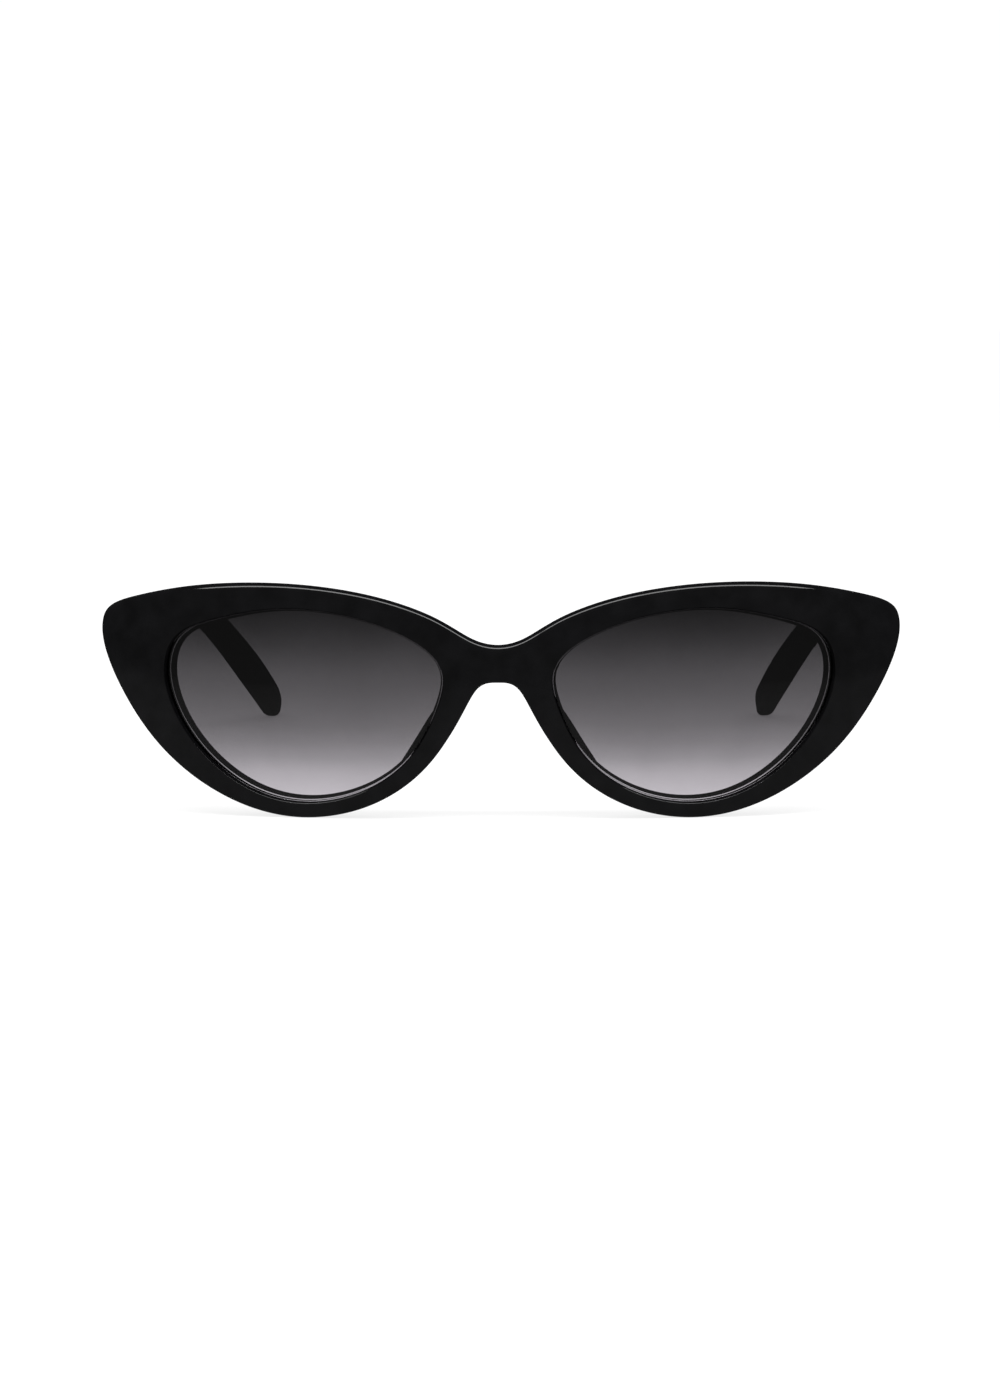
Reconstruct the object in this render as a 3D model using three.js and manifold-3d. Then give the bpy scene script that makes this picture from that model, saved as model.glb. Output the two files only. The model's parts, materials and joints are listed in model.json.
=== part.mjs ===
// Cat eye sunglasses: an acetate front with two graded lenses and two folding temples.
// Millimetres. +Z is up, the wearer looks along -Y, and the temples run back along +Y.
// The sunglasses stand open on a table at z = 0, on the rims' lowest edges and the temple tips.
// Names ending in right and left are the wearer's: right is the -X side.

import * as THREE from 'three';
import { mergeGeometries, mergeVertices } from 'three/addons/utils/BufferGeometryUtils.js';
import Module from 'manifold-3d';

const wasm = await Module();
wasm.setup();

const degrees = Math.PI / 180;

// The front's curved face: each eye lies on a sphere, turned outwards by the face form angle.
const faceRadius = 88;
const faceForm = 8 * degrees;
const eyeCentre = { x: 35, z: 20.5 };
const bridgeBlend = 9; // inside this half width the two spheres blend into one saddle
const slopeStep = 0.01; // over which the face's slope is measured
const frontThickness = 6;

// Smooth outlines in the front view, as control points (x, z) of uniform cubic B-splines, clockwise.
// The front's runs from the top of the bridge round to its arch, both on the midline.
const frontOutline = [
  [0, 30.8], [4.8, 32.1], [10.1, 36.3], [22.0, 40.6], [37.5, 42.7], [54.6, 42.1],
  [66.8, 39.3], [72.8, 37.3], [73.5, 31.3], [69.4, 22.1], [61.8, 11.1], [50.0, 2.6],
  [36.5, -1.3], [22.6, 1.1], [12.0, 8.4], [5.9, 18.7], [3.5, 24.4], [0, 24.3],
];
const lensOutline = [
  [39.4, 38.3], [50.5, 35.8], [58.1, 33.5], [60.8, 27.7], [59.3, 19.6], [53.4, 10.7], [43.9, 3.8],
  [33.2, 2.0], [22.5, 4.9], [14.5, 11.2], [10.4, 20.1], [8.6, 26.9], [14.3, 32.4], [26.0, 36.9],
];
const outlineSteps = 5; // divisions between two control points
const midlineSteps = 3;
const halvings = 40; // steps of the search for the lens outline's point on a ray

// Rim and lens sections, as depths behind the front face and offsets from the outlines.
const wallRound = 1.4;
const roundMiddle = 0.3; // the round's middle point, as a share of its radius
const backEdge = 0.8;
const innerEdge = 0.4;
const lensDepth = 1.0;
const lensThickness = 1.8;
const grooveReach = 0.95;
const grooveHalfWidth = 0.85;
const bevelReach = 0.65;
const bevelInset = 0.15;
const bevelFoot = 0.05;
const lensRings = [0.3, 0.6, 0.82]; // shares of the way from the lens's centre to its edge

// Nose pads, raised on the backs of the rims. Their heights are those of the lowest and highest point.
const pad = { low: 7, high: 22.5, halfWidth: 2.2, rise: 3.4, steps: 8, gap: 0.2, fineSteps: 60 };
const padBlunt = 0.06; // share of the half wave that each end leaves out, so the ends are blunt
// A pad's section, as shares of its half width and of its rise.
const padSection = [
  [-1, 0], [1, 0], [0.85, 0.35], [0.3, 0.62], [-0.35, 0.95], [-0.9, 1], [-1.15, 0.6],
];
const nasalStart = 12; // the front outline's span where the nose side begins

// Temples. The straight part's outer face is flat and parallel to Y.
const templeOuterX = 68;
const templeHeight = 32.2; // of the centre line at the hinge
const templeSlope = 2.4 * degrees; // the straight part falls a little towards the ear
const templeBendY = 101.7;
const bendRadius = 34;
const bendAngle = 30.6 * degrees;
const tipCentreHeight = 1.155;
const tipLean = 33 * degrees; // the drop leans in towards the head
const tipFlare = 5.2; // and its end turns back to upright
const templeThickness = { hinge: 4.2, tip: 3.4 };
const buttGap = 0.3;
const cornerRadius = 1.1;
const cornerShare = 0.4; // of the width or height that a corner takes at most
const leastTipShare = 0.2;
const tipWidthShare = 0.4; // of the width that the rounded end always keeps
const pathStep = 0.2; // over which the centre line's direction is measured
const firstStation = 4; // behind this distance the section stands square to the centre line
// Share of the length, and height of the section there.
const templeHeights = [[0, 9.6], [0.3, 8.4], [0.55, 6.2], [0.7, 5.6], [0.88, 6.9], [1, 6.5]];
const tipRound = 5; // length of the rounded end
const templeStations = 34;
const tipStations = 5;

// Hinges with five knuckles on one screw.
const hingeAxis = { x: 62.1, y: 18.9 };
const knuckleRadius = 1.55;
const knuckleBore = 0.72;
const knuckleHeight = 1.5;
const knucklePitch = 1.6;
const knuckleCount = 5;
const roundSides = 24;
const boreLength = 20;
const screwRadius = 0.65;
const screwExtra = 0.1; // of the shaft past each end of the stack
const screwHead = { radius: 1.2, topRadius: 0.96, height: 0.6, gap: 0.05, slotWidth: 0.35, slotDepth: 0.25 };
const leafWidth = 1.1;
const leafReach = 2.95; // from the axis to the anchor, which lies just under the endpiece's back face
const anchor = { width: 2.4, depth: 2.8, height: (knuckleCount - 1) * knucklePitch + knuckleHeight };
const templeLeaf = { start: 1.75, length: 8, height: 6, thickness: 1.6, sunk: 0.8 };
const [webInner, webOuter, webSunk] = [0.2, 1.5, 0.5]; // across from the axis, and into the plate
const pocketGap = 0.15;
const pocketClear = 3; // how far the pocket's cutter runs out into the open

// The stiffening wire inside each temple, and the channel that it is shot into.
const wire = { width: 1.1, height: 1.8, corner: 0.3, gap: 0.15, start: 6, share: 0.86, stations: 20 };
const channelClear = 3; // how far the channel's cutter runs out of the temple's front end

const colours = {
  acetate: 0x0b0b0c,
  lens: 0x4c484c,
  steel: 0xa8a9ab,
  wire: 0xb9babc,
};

function material(color, roughness, metalness, opacity = 1) {
  return new THREE.MeshStandardMaterial({ color, roughness, metalness, opacity, transparent: opacity < 1 });
}

const acetate = material(colours.acetate, 0.18, 0);
const tintedLens = material(colours.lens, 0.03, 0, 0.7);
const hingeSteel = material(colours.steel, 0.35, 1);
const wireSteel = material(colours.wire, 0.4, 1);

// ---- Solids from rings of points ----

function triangleGeometry(points, faces) {
  const geometry = new THREE.BufferGeometry();
  geometry.setAttribute('position', new THREE.Float32BufferAttribute(points.flatMap((p) => p.toArray()), 3));
  geometry.setIndex(faces);
  return geometry;
}

function signedVolume(geometry) {
  const position = geometry.getAttribute('position');
  const index = geometry.getIndex();
  const corner = [0, 1, 2].map(() => new THREE.Vector3());
  let volume = 0;
  for (let i = 0; i < index.count; i += 3) {
    corner.forEach((point, k) => point.fromBufferAttribute(position, index.getX(i + k)));
    volume += corner[0].dot(corner[1].clone().cross(corner[2])) / 6;
  }
  return volume;
}

function flipFaces(geometry) {
  const index = geometry.getIndex().array;
  for (let i = 0; i < index.length; i += 3) {
    [index[i], index[i + 1]] = [index[i + 1], index[i]];
  }
  return geometry;
}

function facingOut(geometry) {
  return signedVolume(geometry) < 0 ? flipFaces(geometry) : geometry;
}

// Joins rings of equally many points side by side. keep(ring, point) leaves faces out.
function skinFaces(rings, loop, keep = () => true) {
  const size = rings[0].length;
  const count = loop ? rings.length : rings.length - 1;
  const faces = [];
  for (let ring = 0; ring < count; ring++) {
    const next = (ring + 1) % rings.length;
    for (let k = 0; k < size; k++) {
      if (!keep(ring, k)) continue;
      const across = (k + 1) % size;
      const [a, b] = [ring * size + k, ring * size + across];
      const [c, d] = [next * size + across, next * size + k];
      faces.push(a, b, c, a, c, d);
    }
  }
  return faces;
}

// A loft with a flat fan over each end.
function loft(rings) {
  const size = rings[0].length;
  const faces = skinFaces(rings, false);
  const lastRing = (rings.length - 1) * size;
  for (let k = 1; k < size - 1; k++) {
    faces.push(0, k + 1, k);
    faces.push(lastRing, lastRing + k, lastRing + k + 1);
  }
  return facingOut(triangleGeometry(rings.flat(), faces));
}

function toSolid(geometry) {
  const bare = geometry.clone();
  bare.deleteAttribute('normal');
  bare.deleteAttribute('uv');
  const merged = mergeVertices(bare, 1e-4);
  return new wasm.Manifold(new wasm.Mesh({
    numProp: 3,
    vertProperties: new Float32Array(merged.getAttribute('position').array),
    triVerts: new Uint32Array(merged.getIndex().array),
  }));
}

function fromSolid(solid) {
  const mesh = solid.getMesh();
  const geometry = new THREE.BufferGeometry();
  geometry.setAttribute('position', new THREE.BufferAttribute(mesh.vertProperties, 3));
  geometry.setIndex(new THREE.BufferAttribute(mesh.triVerts, 1));
  return geometry;
}

function mirrored(geometry) {
  return flipFaces(geometry.clone().scale(-1, 1, 1));
}

// ---- The curved face ----

function faceY(x, z) {
  const sphereX = eyeCentre.x - faceRadius * Math.sin(faceForm);
  const sphereY = faceRadius * Math.cos(faceForm);
  const across = Math.max(Math.abs(x), bridgeBlend) - sphereX;
  const drop = Math.sqrt(faceRadius ** 2 - across ** 2 - (z - eyeCentre.z) ** 2);
  const inside = Math.max(bridgeBlend - Math.abs(x), 0);
  return sphereY - drop - (across / drop) * (inside - inside ** 2 / (2 * bridgeBlend));
}

// Unit vector into the front, square to the face.
function faceInward(x, z) {
  const slopeX = x === 0 ? 0 : (faceY(x + slopeStep, z) - faceY(x - slopeStep, z)) / (2 * slopeStep);
  const slopeZ = (faceY(x, z + slopeStep) - faceY(x, z - slopeStep)) / (2 * slopeStep);
  return new THREE.Vector3(-slopeX, 1, -slopeZ).normalize();
}

function onFace(point, depth) {
  const surface = new THREE.Vector3(point.x, faceY(point.x, point.y), point.y);
  return surface.addScaledVector(faceInward(point.x, point.y), depth);
}

// ---- Outlines ----

// A point of an outline, counted in control points from the first, with its outward direction.
function outlineSample(controls, closed, along) {
  const count = controls.length;
  const spans = closed ? count : count - 1;
  const span = Math.min(Math.floor(along), spans - 1);
  const t = along - span;
  const control = (i) => {
    if (closed) return controls[(i + count) % count];
    const inside = i < 0 ? 1 : 2 * (count - 1) - i; // beyond the midline the outline is mirrored
    return i < 0 || i >= count ? [-controls[inside][0], controls[inside][1]] : controls[i];
  };
  const weights = [(1 - t) ** 3, 3 * t ** 3 - 6 * t ** 2 + 4, -3 * t ** 3 + 3 * t ** 2 + 3 * t + 1, t ** 3];
  const slopes = [-((1 - t) ** 2), 3 * t ** 2 - 4 * t, -3 * t ** 2 + 2 * t + 1, t ** 2];
  const point = new THREE.Vector2();
  const tangent = new THREE.Vector2();
  for (let k = 0; k < 4; k++) {
    const corner = new THREE.Vector2(...control(span + k - 1));
    point.addScaledVector(corner, weights[k] / 6);
    tangent.addScaledVector(corner, slopes[k]);
  }
  tangent.normalize();
  return { point, outward: new THREE.Vector2(-tangent.y, tangent.x) };
}

function outlinePoints(controls, closed, steps) {
  const count = (closed ? controls.length : controls.length - 1) * steps + (closed ? 0 : 1);
  return Array.from({ length: count }, (_, i) => outlineSample(controls, closed, i / steps));
}

function polarAngle(point) {
  return Math.atan2(point.y - eyeCentre.z, point.x - eyeCentre.x);
}

function lensSample(along) {
  return outlineSample(lensOutline, true, THREE.MathUtils.euclideanModulo(along, lensOutline.length));
}

// The lens outline's sample at the same polar angle as a point of the front's outline.
function lensSampleTowards(point) {
  const target = polarAngle(point);
  const ahead = (along) => {
    const angle = polarAngle(lensSample(along).point) - target;
    return Math.atan2(Math.sin(angle), Math.cos(angle));
  };
  const starts = [...lensOutline.keys()];
  let low = starts.find((start) => ahead(start) >= 0 && ahead(start + 1) < 0 && ahead(start) < Math.PI / 2);
  let high = low + 1;
  for (let i = 0; i < halvings; i++) {
    const middle = (low + high) / 2;
    if (ahead(middle) >= 0) low = middle;
    else high = middle;
  }
  return lensSample(low);
}

function offset(sample, distance) {
  return sample.point.clone().addScaledVector(sample.outward, distance);
}

// ---- Front ----

function rimSection(outer, onMidline) {
  const inner = lensSampleTowards(outer.point);
  const inset = (distance) => (onMidline ? outer.point : offset(outer, -distance));
  const grooveDepth = lensDepth + lensThickness / 2;
  const middle = (a, b) => a.clone().lerp(b, 0.5);
  const faceInner = offset(inner, innerEdge);
  return [
    onFace(faceInner, 0),
    onFace(inner.point, innerEdge),
    onFace(inner.point, grooveDepth - grooveHalfWidth),
    onFace(offset(inner, grooveReach), grooveDepth),
    onFace(inner.point, grooveDepth + grooveHalfWidth),
    onFace(inner.point, frontThickness - innerEdge),
    onFace(faceInner, frontThickness),
    onFace(middle(faceInner, inset(backEdge)), frontThickness),
    onFace(inset(backEdge), frontThickness),
    onFace(outer.point, frontThickness - backEdge),
    onFace(outer.point, wallRound),
    onFace(inset(wallRound * roundMiddle), wallRound * roundMiddle),
    onFace(inset(wallRound), 0),
    onFace(middle(faceInner, inset(wallRound)), 0),
  ];
}

function frontHalf() {
  const outline = outlinePoints(frontOutline, false, outlineSteps);
  // Both ends lie exactly on the plane of symmetry and run level there.
  const [first, last] = [outline[0], outline[outline.length - 1]];
  first.outward.set(0, 1);
  last.outward.set(0, -1);
  first.point.x = 0;
  last.point.x = 0;
  const [top, arch] = [first.point, last.point];
  const midline = Array.from({ length: midlineSteps }, (_, i) => ({
    point: arch.clone().lerp(top, (i + 1) / (midlineSteps + 1)),
    outward: new THREE.Vector2(-1, 0),
  }));
  const rings = outline.map((sample) => rimSection(sample, false));
  rings.push(...midline.map((sample) => rimSection(sample, true)));
  const firstMidlineStrip = outline.length - 1;
  const outerWall = { first: 8, last: 11 };
  const keep = (ring, k) => ring < firstMidlineStrip || k < outerWall.first || k > outerWall.last;
  return triangleGeometry(rings.flat(), skinFaces(rings, true, keep));
}

// Where the hinge's front leaf enters the endpiece, and the frame that the leaf is drawn in.
function leafPlacement() {
  const inward = faceInward(hingeAxis.x + knuckleRadius, templeHeight);
  const turn = Math.atan2(inward.x, inward.y); // about Z, from +Y
  return new THREE.Matrix4().makeTranslation(hingeAxis.x, hingeAxis.y, templeHeight)
    .multiply(new THREE.Matrix4().makeRotationZ(-turn));
}

function box(low, high) {
  const size = new THREE.Vector3(...high).sub(new THREE.Vector3(...low));
  const centre = new THREE.Vector3(...high).add(new THREE.Vector3(...low)).multiplyScalar(0.5);
  return new THREE.BoxGeometry(size.x, size.y, size.z).translate(centre.x, centre.y, centre.z);
}

// The front leaf lies along -Y of its own frame, so its depth is measured from the hinge axis.
function anchorBox(grow) {
  const [half, up] = [anchor.width / 2 + grow, anchor.height / 2 + grow];
  const deepest = -leafReach - anchor.depth - grow;
  return box([-half, deepest, -up], [half, grow ? 0 : -leafReach, up]);
}

function frontFrame() {
  const half = frontHalf();
  const skin = facingOut(mergeVertices(mergeGeometries([half, mirrored(half)]), 1e-4));
  const pocket = anchorBox(pocketGap).applyMatrix4(leafPlacement());
  const solid = toSolid(skin).subtract(toSolid(pocket)).subtract(toSolid(mirrored(pocket)));
  return fromSolid(solid);
}

// ---- Lens ----

function lens() {
  const edge = outlinePoints(lensOutline, true, outlineSteps);
  const centre = new THREE.Vector2(eyeCentre.x, eyeCentre.z);
  const backDepth = lensDepth + lensThickness;
  const middleDepth = lensDepth + lensThickness / 2;
  const rings = edge.map((sample) => {
    const rim = offset(sample, -bevelInset);
    const face = (depth) => lensRings.map((share) => onLens(centre.clone().lerp(rim, share), depth));
    return [
      ...face(lensDepth),
      onLens(rim, lensDepth),
      onLens(offset(sample, -bevelFoot), middleDepth - bevelReach),
      onLens(offset(sample, bevelReach), middleDepth),
      onLens(offset(sample, -bevelFoot), middleDepth + bevelReach),
      onLens(rim, backDepth),
      ...face(backDepth).reverse(),
    ];
  });
  const points = rings.flat();
  const size = rings[0].length;
  const faces = skinFaces(rings, true, (ring, k) => k < size - 1);
  const [frontPole, backPole] = [points.length, points.length + 1];
  points.push(onLens(centre, lensDepth), onLens(centre, backDepth));
  rings.forEach((_, i) => {
    const next = ((i + 1) % rings.length) * size;
    faces.push(frontPole, i * size, next);
    faces.push(backPole, next + size - 1, i * size + size - 1);
  });
  return facingOut(triangleGeometry(points, faces));
}

// The lens is part of a whole sphere, so it doesn't follow the bridge's saddle.
function onLens(point, depth) {
  const sphereX = eyeCentre.x - faceRadius * Math.sin(faceForm);
  const sphereY = faceRadius * Math.cos(faceForm);
  const [across, up] = [point.x - sphereX, point.y - eyeCentre.z];
  const drop = Math.sqrt(faceRadius ** 2 - across ** 2 - up ** 2);
  const surface = new THREE.Vector3(point.x, sphereY - drop, point.y);
  const inward = new THREE.Vector3(-across, drop, -up).normalize();
  return surface.addScaledVector(inward, depth);
}

// ---- Nose pads ----

function nosePad() {
  const nasal = outlinePoints(frontOutline, false, pad.fineSteps).slice(nasalStart * pad.fineSteps);
  const rings = [];
  for (let i = 0; i <= pad.steps; i++) {
    const share = i / pad.steps;
    const height = THREE.MathUtils.lerp(pad.low, pad.high, share);
    const swell = Math.sqrt(Math.sin(Math.PI * THREE.MathUtils.lerp(padBlunt, 1 - padBlunt, share)));
    const away = (sample) => Math.abs(sample.point.y - height);
    const nearest = nasal.reduce((best, sample) => (away(sample) < away(best) ? sample : best));
    const middle = nearest.point.x + backEdge + pad.halfWidth;
    rings.push(padSection.map(([across, up]) => {
      const point = new THREE.Vector2(middle + pad.halfWidth * swell * across, height);
      return onFace(point, frontThickness + pad.gap + pad.rise * swell * up);
    }));
  }
  return loft(rings);
}

// ---- Temples ----

const straightLength = (templeBendY - hingeAxis.y) / Math.cos(templeSlope);
const straightDrop = straightLength * Math.sin(templeSlope);
const bendLength = bendRadius * bendAngle;
const tailAngle = templeSlope + bendAngle;
const bendDrop = bendRadius * (Math.cos(templeSlope) - Math.cos(tailAngle));
const tailLength = (templeHeight - straightDrop - bendDrop - tipCentreHeight) / Math.sin(tailAngle);
const templeLength = straightLength + bendLength + tailLength;

function templeThicknessAt(s) {
  return THREE.MathUtils.lerp(templeThickness.hinge, templeThickness.tip, s / templeLength);
}

// Centre of the left temple at a distance s behind the hinge axis.
function templeCentre(s) {
  const straight = Math.min(s, straightLength);
  const angle = templeSlope + THREE.MathUtils.clamp((s - straightLength) / bendRadius, 0, bendAngle);
  const tail = Math.max(s - straightLength - bendLength, 0);
  const bendRun = bendRadius * (Math.sin(angle) - Math.sin(templeSlope));
  const bendFall = bendRadius * (Math.cos(templeSlope) - Math.cos(angle));
  const y = hingeAxis.y + straight * Math.cos(templeSlope) + bendRun + tail * Math.cos(tailAngle);
  const fall = bendFall + tail * Math.sin(tailAngle);
  const flare = tipFlare * (Math.max(s - straightLength, 0) / (templeLength - straightLength)) ** 2;
  const x = templeOuterX - templeThicknessAt(s) / 2 - fall * Math.tan(tipLean) + flare;
  return new THREE.Vector3(x, y, templeHeight - straight * Math.sin(templeSlope) - fall);
}

function templeHeightAt(s) {
  const share = s / templeLength;
  const after = Math.max(templeHeights.findIndex(([at]) => at >= share), 1);
  const [[a, low], [b, high]] = [templeHeights[after - 1], templeHeights[after]];
  return THREE.MathUtils.lerp(low, high, THREE.MathUtils.smoothstep(share, a, b));
}

// Share of the full section that is left at s, as the end rounds off.
function tipShare(s) {
  const past = Math.max((s - templeLength + tipRound) / tipRound, 0);
  return Math.sqrt(Math.max(1 - past ** 2, leastTipShare ** 2));
}

// Frame of the temple's section at s: across points out from the head, up is square to the path.
function templeFrame(s) {
  const ahead = templeCentre(Math.min(s + pathStep, templeLength));
  const along = ahead.sub(templeCentre(Math.max(s - pathStep, 0))).normalize();
  const across = new THREE.Vector3().crossVectors(along, new THREE.Vector3(0, 0, 1)).normalize();
  if (s < straightLength) across.set(1, 0, 0);
  const up = new THREE.Vector3().crossVectors(across, along).normalize();
  return { centre: templeCentre(s), across, up };
}

// A rectangle with rounded corners, as points around the section.
function roundedSection(s, width, height, radius, cornerSteps) {
  const { centre, across, up } = templeFrame(s);
  const points = [];
  const corners = [[1, 1, 0], [-1, 1, 90], [-1, -1, 180], [1, -1, 270]];
  corners.forEach(([sideX, sideZ, from]) => {
    for (let i = 0; i <= cornerSteps; i++) {
      const angle = (from + (90 * i) / cornerSteps) * degrees;
      const u = sideX * (width / 2 - radius) + radius * Math.cos(angle);
      const v = sideZ * (height / 2 - radius) + radius * Math.sin(angle);
      points.push(centre.clone().addScaledVector(across, u).addScaledVector(up, v));
    }
  });
  return points;
}

// The temple's front end is cut to lie against the endpiece's back face.
function mitred(ring) {
  return ring.map((point) => {
    const surface = onFace(new THREE.Vector2(point.x + frontThickness / 2, point.z), frontThickness);
    const slope = faceInward(point.x + frontThickness / 2, point.z);
    const shift = ((surface.x - point.x) * slope.x + (surface.z - point.z) * slope.z) / slope.y;
    return new THREE.Vector3(point.x, surface.y + shift + buttGap, point.z);
  });
}

function templeSection(s) {
  const height = templeHeightAt(s) * tipShare(s);
  const width = templeThicknessAt(s) * THREE.MathUtils.lerp(tipWidthShare, 1, tipShare(s));
  const radius = Math.min(cornerRadius, width * cornerShare, height * cornerShare);
  return roundedSection(s, width, height, radius, 2);
}

function temple() {
  const rings = [mitred(templeSection(0))];
  const roundStart = templeLength - tipRound;
  for (let i = 0; i <= templeStations; i++) {
    rings.push(templeSection(THREE.MathUtils.lerp(firstStation, roundStart, i / templeStations)));
  }
  for (let i = 1; i <= tipStations; i++) {
    rings.push(templeSection(roundStart + tipRound * Math.sin((i / tipStations) * 90 * degrees)));
  }
  const innerX = templeOuterX - templeThickness.hinge;
  const pocketHalf = templeLeaf.height / 2 + pocketGap;
  const pocketEnd = hingeAxis.y + templeLeaf.start + templeLeaf.length + pocketGap;
  const leafPocket = box(
    [innerX - pocketClear, hingeAxis.y - pocketClear, templeHeight - pocketHalf],
    [innerX + templeLeaf.sunk + pocketGap, pocketEnd, templeHeight + pocketHalf],
  );
  const channel = wireLoft(-channelClear, wire.gap);
  return fromSolid(toSolid(loft(rings)).subtract(toSolid(leafPocket)).subtract(toSolid(channel)));
}

function wireLoft(start, grow) {
  const end = templeLength * wire.share + grow;
  const rings = Array.from({ length: wire.stations + 1 }, (_, i) => {
    const s = THREE.MathUtils.lerp(start, end, i / wire.stations);
    return roundedSection(s, wire.width + 2 * grow, wire.height + 2 * grow, wire.corner, 1);
  });
  return loft(rings);
}

function coreWire() {
  return wireLoft(wire.start, 0);
}

// ---- Hinges ----

function uprightCylinder(lowRadius, highRadius, height, middle) {
  return new THREE.CylinderGeometry(highRadius, lowRadius, height, roundSides)
    .rotateX(Math.PI / 2)
    .translate(0, 0, middle);
}

function knuckleMiddle(index) {
  return (index - (knuckleCount - 1) / 2) * knucklePitch;
}

function knuckle(index) {
  return uprightCylinder(knuckleRadius, knuckleRadius, knuckleHeight, knuckleMiddle(index));
}

function bored(solid) {
  return solid.subtract(toSolid(uprightCylinder(knuckleBore, knuckleBore, boreLength, 0)));
}

// Front half: three knuckles on an anchor that is sunk into the endpiece.
function frontHinge() {
  let solid = toSolid(anchorBox(0));
  for (let i = 0; i < knuckleCount; i += 2) {
    const middle = knuckleMiddle(i);
    const half = knuckleHeight / 2;
    const web = box([-leafWidth / 2, -leafReach, middle - half], [leafWidth / 2, 0, middle + half]);
    solid = solid.add(toSolid(knuckle(i))).add(toSolid(web));
  }
  return fromSolid(bored(solid)).applyMatrix4(leafPlacement());
}

// Temple half: two knuckles on a plate that is sunk into the temple's inner face.
function templeHinge() {
  const inner = templeOuterX - templeThickness.hinge - hingeAxis.x;
  const [plateIn, plateOut] = [inner + templeLeaf.sunk - templeLeaf.thickness, inner + templeLeaf.sunk];
  const half = templeLeaf.height / 2;
  const plateEnd = templeLeaf.start + templeLeaf.length;
  let solid = toSolid(box([plateIn, templeLeaf.start, -half], [plateOut, plateEnd, half]));
  for (let i = 1; i < knuckleCount; i += 2) {
    const middle = knuckleMiddle(i);
    const high = knuckleHeight / 2;
    const web = box([webInner, 0, middle - high], [webOuter, templeLeaf.start + webSunk, middle + high]);
    solid = solid.add(toSolid(knuckle(i))).add(toSolid(web));
  }
  return fromSolid(bored(solid)).translate(hingeAxis.x, hingeAxis.y, templeHeight);
}

function hingeScrew() {
  const stackHalf = ((knuckleCount - 1) * knucklePitch + knuckleHeight) / 2;
  const headBottom = stackHalf + screwHead.gap;
  const headTop = headBottom + screwHead.height;
  const shaft = uprightCylinder(screwRadius, screwRadius, 2 * (stackHalf + screwExtra), 0);
  const head = uprightCylinder(
    screwHead.radius,
    screwHead.topRadius,
    screwHead.height,
    headBottom + screwHead.height / 2,
  );
  const slot = box(
    [-screwHead.radius, -screwHead.slotWidth / 2, headTop - screwHead.slotDepth],
    [screwHead.radius, screwHead.slotWidth / 2, headTop + screwHead.slotDepth],
  );
  return fromSolid(toSolid(shaft).add(toSolid(head)).subtract(toSolid(slot)))
    .translate(hingeAxis.x, hingeAxis.y, templeHeight);
}

// ---- Assembly ----

const group = new THREE.Group();

function addMesh(name, geometry, finish) {
  const mesh = new THREE.Mesh(geometry, finish);
  mesh.name = name;
  group.add(mesh);
}

function addPair(name, geometry, finish) {
  addMesh(`${name}_left`, geometry, finish);
  addMesh(`${name}_right`, mirrored(geometry), finish);
}

addMesh('front_frame', frontFrame(), acetate);
addPair('lens', lens(), tintedLens);
addPair('nose_pad', nosePad(), acetate);
addPair('hinge_front', frontHinge(), hingeSteel);
addPair('hinge_temple', templeHinge(), hingeSteel);
addPair('hinge_screw', hingeScrew(), hingeSteel);
addPair('temple', temple(), acetate);
addPair('core_wire', coreWire(), wireSteel);

// The origin is under the middle of the whole object, on the table.
group.updateMatrixWorld(true);
const extent = new THREE.Box3().setFromObject(group);
group.position.y = -(extent.min.y + extent.max.y) / 2;
group.position.z = -extent.min.z;

export default group;
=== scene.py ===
import json
import math

import bmesh
import bpy
from mathutils import Matrix, Vector


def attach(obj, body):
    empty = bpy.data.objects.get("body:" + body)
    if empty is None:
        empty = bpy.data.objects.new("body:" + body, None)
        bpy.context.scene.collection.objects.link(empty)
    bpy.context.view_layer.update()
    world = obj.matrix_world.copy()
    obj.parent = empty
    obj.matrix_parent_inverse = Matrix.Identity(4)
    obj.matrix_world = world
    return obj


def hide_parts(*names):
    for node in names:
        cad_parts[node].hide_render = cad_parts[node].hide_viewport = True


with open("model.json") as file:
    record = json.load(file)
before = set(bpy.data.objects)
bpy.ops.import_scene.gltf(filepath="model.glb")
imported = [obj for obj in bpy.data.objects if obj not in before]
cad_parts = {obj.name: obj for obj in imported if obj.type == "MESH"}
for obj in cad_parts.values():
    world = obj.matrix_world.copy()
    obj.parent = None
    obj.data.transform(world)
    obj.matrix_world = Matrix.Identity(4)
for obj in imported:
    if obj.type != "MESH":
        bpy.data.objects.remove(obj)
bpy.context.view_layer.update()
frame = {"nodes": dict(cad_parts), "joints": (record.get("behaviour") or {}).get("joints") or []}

scene = bpy.context.scene

# Everything is drawn in millimetres, with y = 0 on the front's face at the eye centres and z = 0 about level
# with the rims' lowest edges, then moved so that the hinge axis falls on its joint.
layout = {
    "hingeAxis": Vector((62.1, 18.9, 32.2)),
    "faceRadius": 88.0,
    "faceForm": math.radians(8.0),
    "eyeCentre": Vector((35.0, 20.5)),
    "bridgeBlend": 9.0,
    "frontThickness": 6.0,
    "slopeStep": 0.01,  # over which the face's slope is measured
    "halvings": 26,      # steps of the search along the lens outline
}
leftHinge = next(joint for joint in frame["joints"] if joint["name"] == "left_temple_fold")
toRow = Matrix.Scale(0.001, 4) @ Matrix.Translation(Vector(leftHinge["pos_m"]) * 1000 - layout["hingeAxis"])
print("frame loaded, hinge axis at", [round(v, 5) for v in leftHinge["pos_m"]])


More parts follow.
